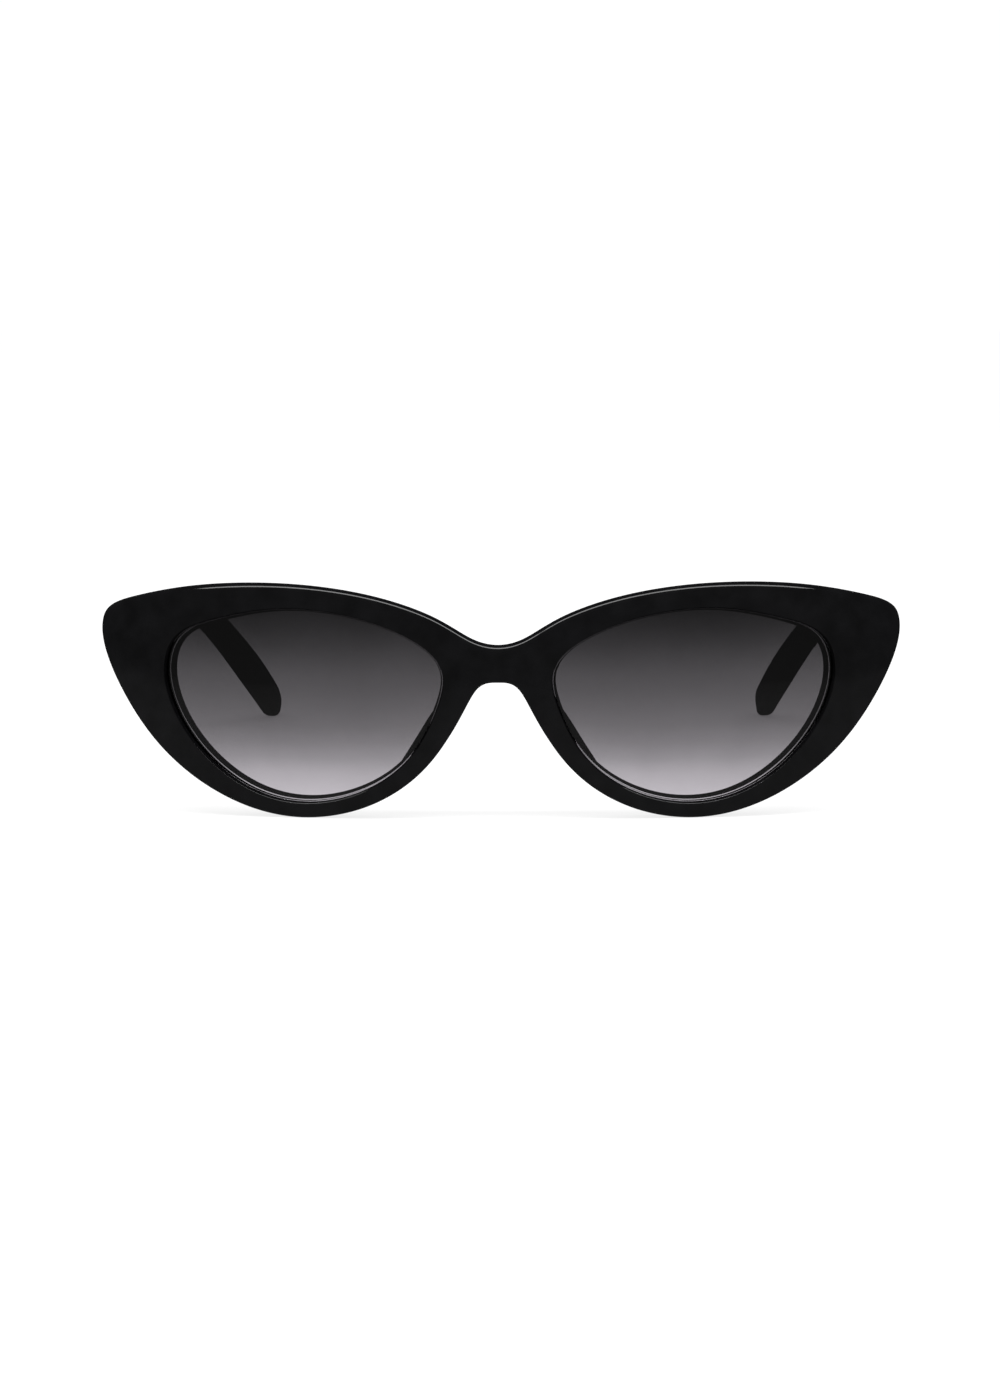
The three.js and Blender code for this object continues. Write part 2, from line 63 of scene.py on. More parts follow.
# A mesh from points and faces in millimetres: doubles merged, faces outwards, soft except at real edges.
# bothSides adds the mirror image, for what crosses the plane of symmetry.
def newMesh(name, points, faces, bothSides=False):
    mesh = bpy.data.meshes.new(name)
    work = bmesh.new()
    for side in (1, -1) if bothSides else (1,):
        verts = [work.verts.new((p[0] * side, p[1], p[2])) for p in points]
        for face in faces:
            corners = [verts[i] for i in (face if side > 0 else reversed(face))]
            if len(set(corners)) > 2:
                work.faces.new(corners)
    bmesh.ops.remove_doubles(work, verts=work.verts, dist=0.0008)
    bmesh.ops.dissolve_degenerate(work, edges=work.edges, dist=0.0002)
    bmesh.ops.delete(work, geom=[v for v in work.verts if not v.link_faces], context="VERTS")
    bmesh.ops.recalc_face_normals(work, faces=work.faces)
    work.transform(toRow)
    work.to_mesh(mesh)
    work.free()
    finishMesh(mesh)
    return mesh


def finishMesh(mesh, sharpAngle=32.0):
    mesh.shade_smooth()
    mesh.set_sharp_from_angle(angle=math.radians(sharpAngle))


def mirroredMesh(mesh, name):
    copy = mesh.copy()
    copy.name = name
    work = bmesh.new()
    work.from_mesh(copy)
    work.transform(Matrix.Scale(-1, 4, (1, 0, 0)))
    bmesh.ops.reverse_faces(work, faces=work.faces)
    work.to_mesh(copy)
    work.free()
    return copy


def addPiece(name, mesh, material, node, body):
    piece = bpy.data.objects.new(name, mesh)
    scene.collection.objects.link(piece)
    mesh.materials.clear()
    mesh.materials.append(material)
    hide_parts(node)
    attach(piece, body)
    return piece


def addPair(name, mesh, material, node, bodies):
    addPiece(name + "Left", mesh, material, node + "_left", bodies[0])
    other = mirroredMesh(mesh, name + "Right")
    addPiece(name + "Right", other, material, node + "_right", bodies[1])


# The modifiers' result as a plain mesh, for a helper object that is then thrown away.
def bakedMesh(helper, name):
    bpy.context.view_layer.update()
    evaluated = helper.evaluated_get(bpy.context.evaluated_depsgraph_get())
    mesh = bpy.data.meshes.new_from_object(evaluated)
    mesh.name = name
    bpy.data.objects.remove(helper)
    return mesh


def smoothstep(value):
    value = min(max(value, 0.0), 1.0)
    return value * value * (3 - 2 * value)


def mix(a, b, share):
    return a + (b - a) * share


# Materials

def nodeMaterial(name):
    material = bpy.data.materials.new(name)
    material.use_nodes = True
    tree = material.node_tree
    return material, tree, tree.nodes["Principled BSDF"]


def addNode(tree, kind, **settings):
    node = tree.nodes.new(kind)
    for key, value in settings.items():
        setattr(node, key, value)
    return node


# Noise on Object coordinates, stretched by the mapping scale.
def objectNoise(tree, scale, detail=2.0, stretch=(1, 1, 1)):
    coordinates = addNode(tree, "ShaderNodeTexCoord")
    mapping = addNode(tree, "ShaderNodeMapping")
    mapping.inputs["Scale"].default_value = stretch
    noise = addNode(tree, "ShaderNodeTexNoise")
    noise.inputs["Scale"].default_value = scale
    noise.inputs["Detail"].default_value = detail
    tree.links.new(coordinates.outputs["Object"], mapping.inputs["Vector"])
    tree.links.new(mapping.outputs["Vector"], noise.inputs["Vector"])
    return noise.outputs["Fac"]


def ranged(tree, source, low, high, fromLow=0.3, fromHigh=0.7):
    node = addNode(tree, "ShaderNodeMapRange")
    node.inputs["From Min"].default_value = fromLow
    node.inputs["From Max"].default_value = fromHigh
    node.inputs["To Min"].default_value = low
    node.inputs["To Max"].default_value = high
    tree.links.new(source, node.inputs["Value"])
    return node.outputs["Result"]


def ramp(tree, source, stops):
    node = addNode(tree, "ShaderNodeValToRGB")
    elements = node.color_ramp.elements
    while len(elements) < len(stops):
        elements.new(0.5)
    for element, (position, colour) in zip(elements, stops):
        element.position = position
        element.color = (*colour, 1)
    tree.links.new(source, node.inputs["Fac"])
    return node.outputs["Color"]


def bump(tree, source, strength, distance, below=None):
    node = addNode(tree, "ShaderNodeBump")
    node.inputs["Strength"].default_value = strength
    node.inputs["Distance"].default_value = distance
    tree.links.new(source, node.inputs["Height"])
    if below:
        tree.links.new(below, node.inputs["Normal"])
    return node.outputs["Normal"]


acetateLook = {
    "deep": (0.0016, 0.0016, 0.0018),
    "clouded": (0.0034, 0.0034, 0.0038),
    "cloudScale": 260,
    "gloss": (0.05, 0.09),
    "glossScale": 420,
    "specular": 0.22,
    "ior": 1.48,
    "wave": {"scale": 110, "strength": 0.05, "distance": 0.00012},
    "polish": {"scale": 2600, "strength": 0.03, "distance": 0.00002, "stretch": (1, 1, 3)},
}


# Black cellulose acetate, tumbled and buffed: faint clouding, uneven gloss and a trace of waviness.
def acetateMaterial():
    material, tree, shader = nodeMaterial("blackAcetate")
    clouds = objectNoise(tree, acetateLook["cloudScale"], 4)
    colour = ramp(tree, clouds, [(0.35, acetateLook["deep"]), (0.7, acetateLook["clouded"])])
    tree.links.new(colour, shader.inputs["Base Color"])
    gloss = ranged(tree, objectNoise(tree, acetateLook["glossScale"], 3), *acetateLook["gloss"])
    tree.links.new(gloss, shader.inputs["Roughness"])
    wave, polish = acetateLook["wave"], acetateLook["polish"]
    slow = bump(tree, objectNoise(tree, wave["scale"]), wave["strength"], wave["distance"])
    lines = objectNoise(tree, polish["scale"], 3, polish["stretch"])
    fine = bump(tree, lines, polish["strength"], polish["distance"], slow)
    tree.links.new(fine, shader.inputs["Normal"])
    shader.inputs["Specular IOR Level"].default_value = acetateLook["specular"]
    shader.inputs["IOR"].default_value = acetateLook["ior"]
    return material


lensLook = {
    "low": 0.0035,   # heights of the dye's two ends, in metres
    "high": 0.0370,
    "unevenness": 0.0005,
    "unevenScale": 90,
    "ior": 1.38,
    # share of the height from the bottom, and how much light comes through
    "tints": [
        (0.00, 0.470), (0.05, 0.425), (0.135, 0.345), (0.22, 0.238), (0.307, 0.168), (0.395, 0.121),
        (0.48, 0.096), (0.565, 0.077), (0.65, 0.064), (0.737, 0.046), (0.824, 0.029), (0.91, 0.0170),
        (1.00, 0.0090),
    ],
    "warmth": (1.03, 0.975, 1.045),
}


# Clear sheet dyed from nearly black at the top to pale grey at the bottom.
def lensMaterial():
    material, tree, shader = nodeMaterial("gradedLens")
    coordinates = addNode(tree, "ShaderNodeTexCoord")
    split = addNode(tree, "ShaderNodeSeparateXYZ")
    tree.links.new(coordinates.outputs["Object"], split.inputs["Vector"])
    drift = ranged(tree, objectNoise(tree, lensLook["unevenScale"]),
                   -lensLook["unevenness"], lensLook["unevenness"])
    height = addNode(tree, "ShaderNodeMath", operation="ADD")
    tree.links.new(split.outputs["Z"], height.inputs[0])
    tree.links.new(drift, height.inputs[1])
    share = ranged(tree, height.outputs["Value"], 0, 1, lensLook["low"], lensLook["high"])
    warmth = lensLook["warmth"]
    tints = [(at, tuple(min(light * part, 1) for part in warmth)) for at, light in lensLook["tints"]]
    tree.links.new(ramp(tree, share, tints), shader.inputs["Base Color"])
    shader.inputs["Transmission Weight"].default_value = 1
    shader.inputs["Roughness"].default_value = 0.0
    shader.inputs["IOR"].default_value = lensLook["ior"]
    return material


metalLooks = {
    "nickelSilver": {"dark": (0.50, 0.49, 0.46), "bright": (0.66, 0.65, 0.62), "gloss": (0.24, 0.38),
                     "scale": 900, "stretch": (1, 1, 6), "strength": 0.12},
    "screwSteel": {"dark": (0.60, 0.60, 0.61), "bright": (0.74, 0.74, 0.75), "gloss": (0.15, 0.26),
                   "scale": 1600, "stretch": (1, 1, 4), "strength": 0.08},
    "drawnWire": {"dark": (0.45, 0.44, 0.42), "bright": (0.62, 0.61, 0.58), "gloss": (0.3, 0.42),
                  "scale": 700, "stretch": (5, 0.3, 5), "strength": 0.15},
}
metalGrainDepth = 0.00003  # metres


def metalMaterial(name):
    look = metalLooks[name]
    material, tree, shader = nodeMaterial(name)
    grain = objectNoise(tree, look["scale"], 4, look["stretch"])
    colour = ramp(tree, grain, [(0.3, look["dark"]), (0.7, look["bright"])])
    tree.links.new(colour, shader.inputs["Base Color"])
    tree.links.new(ranged(tree, grain, *look["gloss"]), shader.inputs["Roughness"])
    tree.links.new(bump(tree, grain, look["strength"], metalGrainDepth), shader.inputs["Normal"])
    shader.inputs["Metallic"].default_value = 1
    return material


acetate = acetateMaterial()
tintedLens = lensMaterial()
nickelSilver = metalMaterial("nickelSilver")
screwSteel = metalMaterial("screwSteel")
drawnWire = metalMaterial("drawnWire")
print("materials made")


# The curved face: a sphere for each eye, turned outwards, blended across the bridge.

def sphereCentre():
    form = layout["faceForm"]
    radius = layout["faceRadius"]
    return layout["eyeCentre"].x - radius * math.sin(form), radius * math.cos(form)


def faceY(x, z):
    centreX, centreY = sphereCentre()
    blend = layout["bridgeBlend"]
    across = max(abs(x), blend) - centreX
    drop = math.sqrt(layout["faceRadius"] ** 2 - across ** 2 - (z - layout["eyeCentre"].y) ** 2)
    inside = max(blend - abs(x), 0)
    return centreY - drop - (across / drop) * (inside - inside ** 2 / (2 * blend))


def faceInward(x, z):
    step = layout["slopeStep"]
    slopeX = 0 if x == 0 else (faceY(x + step, z) - faceY(x - step, z)) / (2 * step)
    slopeZ = (faceY(x, z + step) - faceY(x, z - step)) / (2 * step)
    return Vector((-slopeX, 1, -slopeZ)).normalized()


def onFace(point, depth):
    return Vector((point.x, faceY(point.x, point.y), point.y)) + faceInward(point.x, point.y) * depth


def onLens(point, depth):
    centreX, centreY = sphereCentre()
    across, up = point.x - centreX, point.y - layout["eyeCentre"].y
    drop = math.sqrt(layout["faceRadius"] ** 2 - across ** 2 - up ** 2)
    return Vector((point.x, centreY - drop, point.y)) + Vector((-across, drop, -up)).normalized() * depth


# Smooth outlines in the front view, as control points (x, z) of uniform cubic B-splines, clockwise.
# The front's runs from the top of the bridge round to its arch, both on the midline.
frontOutline = [
    (0, 30.8), (4.8, 32.1), (10.1, 36.3), (22.0, 40.6), (37.5, 42.7), (54.6, 42.1), (66.8, 39.3), (72.8, 37.3),
    (73.5, 31.3), (69.4, 22.1), (61.8, 11.1), (50.0, 2.6), (36.5, -1.3), (22.6, 1.1), (12.0, 8.4), (5.9, 18.7),
    (3.5, 24.4), (0, 24.3),
]
lensOutline = [
    (39.4, 38.3), (50.5, 35.8), (58.1, 33.5), (60.8, 27.7), (59.3, 19.6), (53.4, 10.7), (43.9, 3.8),
    (33.2, 2.0), (22.5, 4.9), (14.5, 11.2), (10.4, 20.1), (8.6, 26.9), (14.3, 32.4), (26.0, 36.9),
]


class Station:
    # A point of an outline with its outward direction.
    def __init__(self, point, outward):
        self.point, self.outward = point, outward

    def offset(self, distance):
        return self.point + self.outward * distance


# A point of an outline, counted in control points from the first, with its outward direction.
def outlineStation(controls, closed, along):
    count = len(controls)
    span = min(int(along), (count if closed else count - 1) - 1)
    t = along - span

    def control(i):
        if closed:
            return Vector(controls[i % count])
        if 0 <= i < count:
            return Vector(controls[i])
        x, z = controls[1 if i < 0 else count - 2]  # beyond the midline the outline is mirrored
        return Vector((-x, z))

    weights = ((1 - t) ** 3, 3 * t ** 3 - 6 * t ** 2 + 4, -3 * t ** 3 + 3 * t ** 2 + 3 * t + 1, t ** 3)
    slopes = (-((1 - t) ** 2), 3 * t ** 2 - 4 * t, -3 * t ** 2 + 2 * t + 1, t ** 2)
    corners = [control(span + k - 1) for k in range(4)]
    point = sum((corner * weight for corner, weight in zip(corners, weights)), Vector((0, 0))) / 6
    tangent = sum((corner * slope for corner, slope in zip(corners, slopes)), Vector((0, 0))).normalized()
    return Station(point, Vector((-tangent.y, tangent.x)))


def outlineStations(controls, closed, steps):
    count = len(controls) * steps if closed else (len(controls) - 1) * steps + 1
    return [outlineStation(controls, closed, i / steps) for i in range(count)]


# The lens outline's station in the same direction from the eye centre as a point of the front's outline.
def lensStationTowards(point):
    centre, count = layout["eyeCentre"], len(lensOutline)
    target = math.atan2(point.y - centre.y, point.x - centre.x)

    def ahead(along):
        at = outlineStation(lensOutline, True, along % count).point
        angle = math.atan2(at.y - centre.y, at.x - centre.x) - target
        return math.atan2(math.sin(angle), math.cos(angle))

    low = next(i for i in range(count) if 0 <= ahead(i) < math.pi / 2 and ahead(i + 1) < 0)
    high = low + 1
    for _ in range(layout["halvings"]):
        middle = (low + high) / 2
        if ahead(middle) >= 0:
            low = middle
        else:
            high = middle
    return outlineStation(lensOutline, True, low % count)


# Faces between rings of equally many points; keep(ring, point) leaves faces out.
def skin(ringCount, size, loop, keep=lambda ring, k: True):
    faces = []
    for ring in range(ringCount if loop else ringCount - 1):
        after = (ring + 1) % ringCount
        for k in range(size):
            if keep(ring, k):
                across = (k + 1) % size
                faces.append((ring * size + k, ring * size + across, after * size + across, after * size + k))
    return faces


# Front

frontLook = {
    "spanSteps": 16,
    "midlineSteps": 8,
    "innerRound": 0.2,
    "innerBackRound": 1.2,
    "backRound": 0.8,
    "wallStart": 1.4,    # depth where the outer wall is widest
    "wallInset": 0.08,
    "faceInset": 0.05,
    "browRound": 1.7,    # the brow's front edge is a wide roll
    "lowerRound": 0.5,   # and the lower rims' is crisp
    "arcSteps": 6,
    "browArcSteps": 12,
    "faceSteps": 10,
    "groove": {"depth": 1.9, "halfWidth": 0.85, "reach": 0.95},
    "support": 0.10,     # distance of the rows that hold each round's end
}


def edgeRound(outward):
    return mix(frontLook["lowerRound"], frontLook["browRound"], smoothstep((outward.y + 0.05) / 0.75))


# Keeps the outer wall's widest line where it belongs, whatever the radius of the front edge.
def wallStation(station):
    inward = faceInward(station.point.x, station.point.y)
    lean = max(-(inward.x * station.outward.x + inward.z * station.outward.y), 0)
    shift = (frontLook["wallStart"] - edgeRound(station.outward)) * lean
    return Station(station.offset(-shift - frontLook["wallInset"]), station.outward)


def arcOf(steps):
    return [(math.sin(math.pi / 2 * i / steps), math.cos(math.pi / 2 * i / steps)) for i in range(steps + 1)]


# Section of the rim at one station, as (point in the front view, depth), starting and ending at the lens side.
# On the midline frontPoint and backPoint lie on the plane of symmetry and the outer wall is left out.
def rimSection(station, frontPoint=None, backPoint=None):
    inner = lensStationTowards(station.point)
    thickness, edge, back = layout["frontThickness"], frontLook["innerRound"], frontLook["backRound"]
    roll = edgeRound(station.outward)
    support, groove = frontLook["support"], frontLook["groove"]
    arc, browArc = arcOf(frontLook["arcSteps"]), arcOf(frontLook["browArcSteps"])

    def atFront(distance):
        return frontPoint or station.offset(-distance)

    def atBack(distance):
        return backPoint or station.offset(-distance)

    section = [(inner.offset(edge - edge * s), edge - edge * c) for s, c in arc]
    grooveStart, grooveEnd = groove["depth"] - groove["halfWidth"], groove["depth"] + groove["halfWidth"]
    for depth in (edge + support, mix(edge, grooveStart, 0.5), grooveStart - support, grooveStart):
        section.append((inner.point, depth))
    section.append((inner.offset(groove["reach"]), groove["depth"]))
    soft = frontLook["innerBackRound"]
    for depth in (grooveEnd, grooveEnd + support, thickness - soft - support):
        section.append((inner.point, depth))
    section += [(inner.offset(soft - soft * c), thickness - soft + soft * s) for s, c in arc]
    backInner, backOuter = inner.offset(soft + support), atBack(back + support)
    section += [(backInner.lerp(backOuter, i / 6), thickness) for i in range(7)]
    firstOuter = len(section)
    section += [(atBack(back - back * s), thickness - back + back * c) for s, c in arc]
    for depth in (thickness - back - support, mix(thickness - back, roll, 0.5), roll + support):
        section.append((atBack(0) if backPoint else station.point, depth))
    section += [(atFront(roll - roll * c), roll - roll * s) for s, c in browArc]
    lastOuter = len(section) - 1
    faceOuter, faceInner = atFront(roll + support), inner.offset(edge + support)
    steps = frontLook["faceSteps"]
    section += [(faceOuter.lerp(faceInner, i / steps), 0.0) for i in range(steps + 1)]
    section = [(point, max(depth, frontLook["faceInset"])) for point, depth in section]
    return [onFace(point, depth) for point, depth in section], firstOuter, lastOuter


def frontMesh():
    outline = outlineStations(frontOutline, False, frontLook["spanSteps"])
    stations = [wallStation(station) for station in outline]
    for station, up in ((stations[0], 1), (stations[-1], -1)):  # level where they meet the midline
        station.point.x, station.outward = 0, Vector((0, up))
    top, arch = stations[0], stations[-1]
    rings = []
    for station in stations:
        ring, firstOuter, lastOuter = rimSection(station)
        rings.append(ring)
    back, count = frontLook["backRound"], frontLook["midlineSteps"]
    for i in range(1, count):
        share = i / count
        frontPoint = arch.offset(-edgeRound(arch.outward)).lerp(top.offset(-edgeRound(top.outward)), share)
        backPoint = arch.offset(-back).lerp(top.offset(-back), share)
        rings.append(rimSection(Station(frontPoint, Vector((-1, 0))), frontPoint, backPoint)[0])
    firstStrip = len(stations) - 1
    faces = skin(len(rings), len(rings[0]), True,
                 lambda ring, k: ring < firstStrip or not firstOuter <= k < lastOuter)
    return newMesh("frontAcetate", [p for ring in rings for p in ring], faces, True)


addPiece("frontAcetate", frontMesh(), acetate, "front_frame", "front")
print("front made")


# Lenses

lensShape = {
    "spanSteps": 16,
    "rings": 10,
    "depth": 1.0,
    "thickness": 1.8,
    "bevelReach": 0.65,
    "bevelInset": 0.15,
    "bevelFoot": 0.05,
    "crowding": 0.8,  # below 1, the rings lie closer together towards the edge
}


def lensMesh():
    stations = outlineStations(lensOutline, True, lensShape["spanSteps"])
    centre = layout["eyeCentre"]
    front, back = lensShape["depth"], lensShape["depth"] + lensShape["thickness"]
    middle, reach = (front + back) / 2, lensShape["bevelReach"]
    shares = [(i / lensShape["rings"]) ** lensShape["crowding"] for i in range(1, lensShape["rings"])]
    points, size = [], 0
    for station in stations:
        rim, foot = station.offset(-lensShape["bevelInset"]), station.offset(-lensShape["bevelFoot"])
        ring = [onLens(centre.lerp(rim, share), front) for share in shares]
        ring += [onLens(rim, front), onLens(foot, middle - reach)]
        ring += [onLens(station.offset(reach), middle)]
        ring += [onLens(foot, middle + reach), onLens(rim, back)]
        ring += [onLens(centre.lerp(rim, share), back) for share in reversed(shares)]
        points += ring
        size = len(ring)
    faces = skin(len(stations), size, True, lambda ring, k: k < size - 1)
    frontPole, backPole = len(points), len(points) + 1
    points += [onLens(centre, front), onLens(centre, back)]
    for i in range(len(stations)):
        after = (i + 1) % len(stations) * size
        faces.append((frontPole, i * size, after))
        faces.append((backPole, after + size - 1, i * size + size - 1))
    return newMesh("lensLeft", points, faces)


addPair("lens", lensMesh(), tintedLens, "lens", ("front", "front"))
print("lenses made")


# Nose pads: teardrops raised on the backs of the rims, thickest on the side towards the nose.

padShape = {
    "low": 7.0,
    "high": 22.5,
    "halfWidth": 2.2,
    "rise": 3.4,
    "sunk": 0.5,
    "rings": 11,
    # share of the half width, and share of the rise
    "section": [
        (-1.0, -1), (1.0, -1), (1.05, 0.1), (0.7, 0.42), (0.1, 0.78), (-0.5, 1.04), (-1.0, 0.98), (-1.2, 0.45),
    ],
    "blunt": 0.05,      # share of the half wave that each end leaves out
    "nasalStart": 12,   # the front outline's span where the nose side begins
    "fineSteps": 60,
    "levels": 3,
    "sharpAngle": 60,
}


def padMesh():
    fine, blunt, section = padShape["fineSteps"], padShape["blunt"], padShape["section"]
    nasal = outlineStations(frontOutline, False, fine)[padShape["nasalStart"] * fine:]
    points = []
    for i in range(padShape["rings"]):
        share = i / (padShape["rings"] - 1)
        height = mix(padShape["low"], padShape["high"], share)
        swell = math.sqrt(math.sin(math.pi * (blunt + (1 - 2 * blunt) * share)))
        nearest = min(nasal, key=lambda station: abs(station.point.y - height))
        middle = nearest.point.x + frontLook["backRound"] + padShape["halfWidth"]
        for across, up in section:
            depth = -padShape["sunk"] if up < 0 else padShape["rise"] * swell * up
            at = Vector((middle + padShape["halfWidth"] * swell * across, height))
            points.append(onFace(at, layout["frontThickness"] + depth))
    size = len(section)
    faces = skin(padShape["rings"], size, False)
    faces.append(tuple(reversed(range(size))))
    faces.append(tuple(range(len(points) - size, len(points))))
    helper = bpy.data.objects.new("padHelper", newMesh("padCage", points, faces))
    scene.collection.objects.link(helper)
    subdivision = helper.modifiers.new("smooth", "SUBSURF")
    subdivision.levels = subdivision.render_levels = padShape["levels"]
    mesh = bakedMesh(helper, "nosePadLeft")
    finishMesh(mesh, padShape["sharpAngle"])
    return mesh


addPair("nosePad", padMesh(), acetate, "nose_pad", ("front", "front"))
print("nose pads made")


# Temples: straight at the hinge, bent down behind the ear, leaning in and flattened towards the tip.

templeShape = {
    "outerX": 68.0,
    "height": 32.2,
    "slope": math.radians(2.4),
    "bendY": 101.7,
    "bendRadius": 34.0,
    "bendAngle": math.radians(30.6),
    "tipCentreHeight": 1.205,
    "tipLean": math.radians(33),
    "tipFlare": 5.2,
    "thickness": (4.2, 3.4),
    "buttGap": 0.3,
    "buttBevel": 0.25,
    "heights": [(0, 9.6), (0.3, 8.4), (0.55, 6.2), (0.7, 5.6), (0.88, 6.9), (1, 6.5)],
    "tipRound": 5.0,
    "leastTip": 0.002,     # square of the section's share that is left at the very end
    "tipWidthShare": 0.4,  # of the width that the rounded end always keeps
    "cornerShare": 0.4,    # of the width or height that a corner takes at most
    "support": 0.12,       # distance of the rows beside each corner
    "firstStation": 4,     # behind this distance the section stands square to the centre line
    "pathStep": 0.2,       # over which the centre line's direction is measured
    "cornerRadius": 1.1,
    "cornerSteps": 7,
    "stations": 110,
    "tipStations": 12,
}
slope, bendAngle, bendRadius = templeShape["slope"], templeShape["bendAngle"], templeShape["bendRadius"]
tailAngle = slope + bendAngle
straightLength = (templeShape["bendY"] - layout["hingeAxis"].y) / math.cos(slope)
bendLength = bendRadius * bendAngle
bendDrop = bendRadius * (math.cos(slope) - math.cos(tailAngle))
straightDrop = straightLength * math.sin(slope)
tailDrop = templeShape["height"] - straightDrop - bendDrop - templeShape["tipCentreHeight"]
templeLength = straightLength + bendLength + tailDrop / math.sin(tailAngle)


def templeThicknessAt(s):
    return mix(*templeShape["thickness"], s / templeLength)


# Centre of the left temple at a distance s behind the hinge axis.
def templeCentre(s):
    straight = min(s, straightLength)
    angle = slope + min(max((s - straightLength) / bendRadius, 0), bendAngle)
    tail = max(s - straightLength - bendLength, 0)
    bendRun = bendRadius * (math.sin(angle) - math.sin(slope))
    fall = bendRadius * (math.cos(slope) - math.cos(angle)) + tail * math.sin(tailAngle)
    y = layout["hingeAxis"].y + straight * math.cos(slope) + bendRun + tail * math.cos(tailAngle)
    flare = templeShape["tipFlare"] * (max(s - straightLength, 0) / (templeLength - straightLength)) ** 2
    x = templeShape["outerX"] - templeThicknessAt(s) / 2 - fall * math.tan(templeShape["tipLean"]) + flare
    return Vector((x, y, templeShape["height"] - straight * math.sin(slope) - fall))


def templeHeightAt(s):
    share, heights = s / templeLength, templeShape["heights"]
    after = next((i for i, (at, _) in enumerate(heights) if at >= share), len(heights) - 1)
    after = max(after, 1)
    (a, low), (b, high) = heights[after - 1], heights[after]
    return mix(low, high, smoothstep((share - a) / (b - a)))


def tipShare(s):
    past = max((s - templeLength + templeShape["tipRound"]) / templeShape["tipRound"], 0)
    return math.sqrt(max(1 - past ** 2, templeShape["leastTip"]))


def templeFrame(s):
    step = templeShape["pathStep"]
    ahead, behind = templeCentre(min(s + step, templeLength)), templeCentre(max(s - step, 0))
    along = (ahead - behind).normalized()
    across = Vector((1, 0, 0)) if s < straightLength else along.cross(Vector((0, 0, 1))).normalized()
    return templeCentre(s), across, across.cross(along).normalized()


# A rectangle with rounded corners around the temple's centre line, with a row beside each corner's ends.
def roundedSection(s, width, height, radius):
    centre, across, up = templeFrame(s)
    steps, hold = templeShape["cornerSteps"], templeShape["support"]
    outline = []
    for sideX, sideZ, start in ((1, 1, 0), (-1, 1, 90), (-1, -1, 180), (1, -1, 270)):
        cornerU, cornerV = sideX * (width / 2 - radius), sideZ * (height / 2 - radius)
        corner = []
        for i in range(steps + 1):
            angle = math.radians(start + 90 * i / steps)
            corner.append((cornerU + radius * math.cos(angle), cornerV + radius * math.sin(angle)))
        first, last = corner[0], corner[-1]
        turn = math.radians(start)
        before = (first[0] + hold * math.sin(turn), first[1] - hold * math.cos(turn))
        beyond = (last[0] - hold * math.cos(turn), last[1] - hold * math.sin(turn))
        outline += [before, *corner, beyond]
    return [centre + across * u + up * v for u, v in outline]


def templeSection(s, inset=0.0):
    height = templeHeightAt(s) * tipShare(s) - 2 * inset
    width = templeThicknessAt(s) * mix(templeShape["tipWidthShare"], 1, tipShare(s)) - 2 * inset
    corner = templeShape["cornerShare"]
    radius = min(templeShape["cornerRadius"], width * corner, height * corner)
    return roundedSection(s, width, height, radius)


# The front end is cut to lie against the endpiece's back face.
def mitred(ring, back=0.0):
    thickness, cut = layout["frontThickness"], []
    for point in ring:
        at = Vector((point.x + thickness / 2, point.z))
        surface, inward = onFace(at, thickness), faceInward(at.x, at.y)
        shift = ((surface.x - point.x) * inward.x + (surface.z - point.z) * inward.z) / inward.y
        cut.append(Vector((point.x, surface.y + shift + templeShape["buttGap"] + back, point.z)))
    return cut


def templeMesh():
    bevel = templeShape["buttBevel"]
    butt = mitred(templeSection(0), bevel)
    first = templeShape["firstStation"]
    straight = templeSection(first)
    rings = [mitred(templeSection(0, bevel)), mitred(templeSection(0, bevel * 0.3), bevel * 0.3), butt]
    rings += [[a.lerp(b, share) for a, b in zip(butt, straight)] for share in (0.05, 0.35, 0.7)]
    roundStart = templeLength - templeShape["tipRound"]
    count, tips = templeShape["stations"], templeShape["tipStations"]
    rings += [templeSection(mix(first, roundStart, i / count)) for i in range(count + 1)]
    tipAngles = [math.pi / 2 * i / tips for i in range(1, tips + 1)]
    rings += [templeSection(roundStart + templeShape["tipRound"] * math.sin(angle)) for angle in tipAngles]
    size = len(rings[0])
    points = [p for ring in rings for p in ring]
    faces = skin(len(rings), size, False)
    faces.append(tuple(reversed(range(size))))
    faces.append(tuple(range(len(points) - size, len(points))))
    return newMesh("templeLeft", points, faces)


addPair("temple", templeMesh(), acetate, "temple", ("left_temple", "right_temple"))
print("temples made, length", round(templeLength, 1))


# Hinges: a stack of knuckles on one screw, three on the front and two on the temple.

hingeShape = {
    "radius": 1.55,
    "bore": 0.72,
    "knuckleHeight": 1.5,
    "pitch": 1.6,
    "count": 5,
    "edge": 0.14,
    "anchorEdge": 0.1,
    "plateEdge": 0.3,
    "slotEdge": 0.03,
    "bevelSteps": 3,
    "filletSteps": 3,
    "ringSteps": 40,
    "sharpAngle": 40,
    "webSunk": (0.3, 0.5),        # of the front's webs into the anchor, and the temple's into the plate
    "webStart": (0.8, 0.75),      # clear of the bore, on the front half and the temple half
    "webClear": 0.05,
    "leafWidth": 1.1,
    "leafReach": 2.95,
    "anchor": (2.4, 2.8, 7.9),
    "plate": {"start": 1.75, "length": 8.0, "height": 6.0, "thickness": 1.6, "sunk": 0.8},
    "screw": {"radius": 0.65, "headRadius": 1.2, "headHeight": 0.6, "slotWidth": 0.35, "slotDepth": 0.25,
              "gap": 0.05, "extra": 0.1, "segments": 48, "sharpAngle": 30},
}


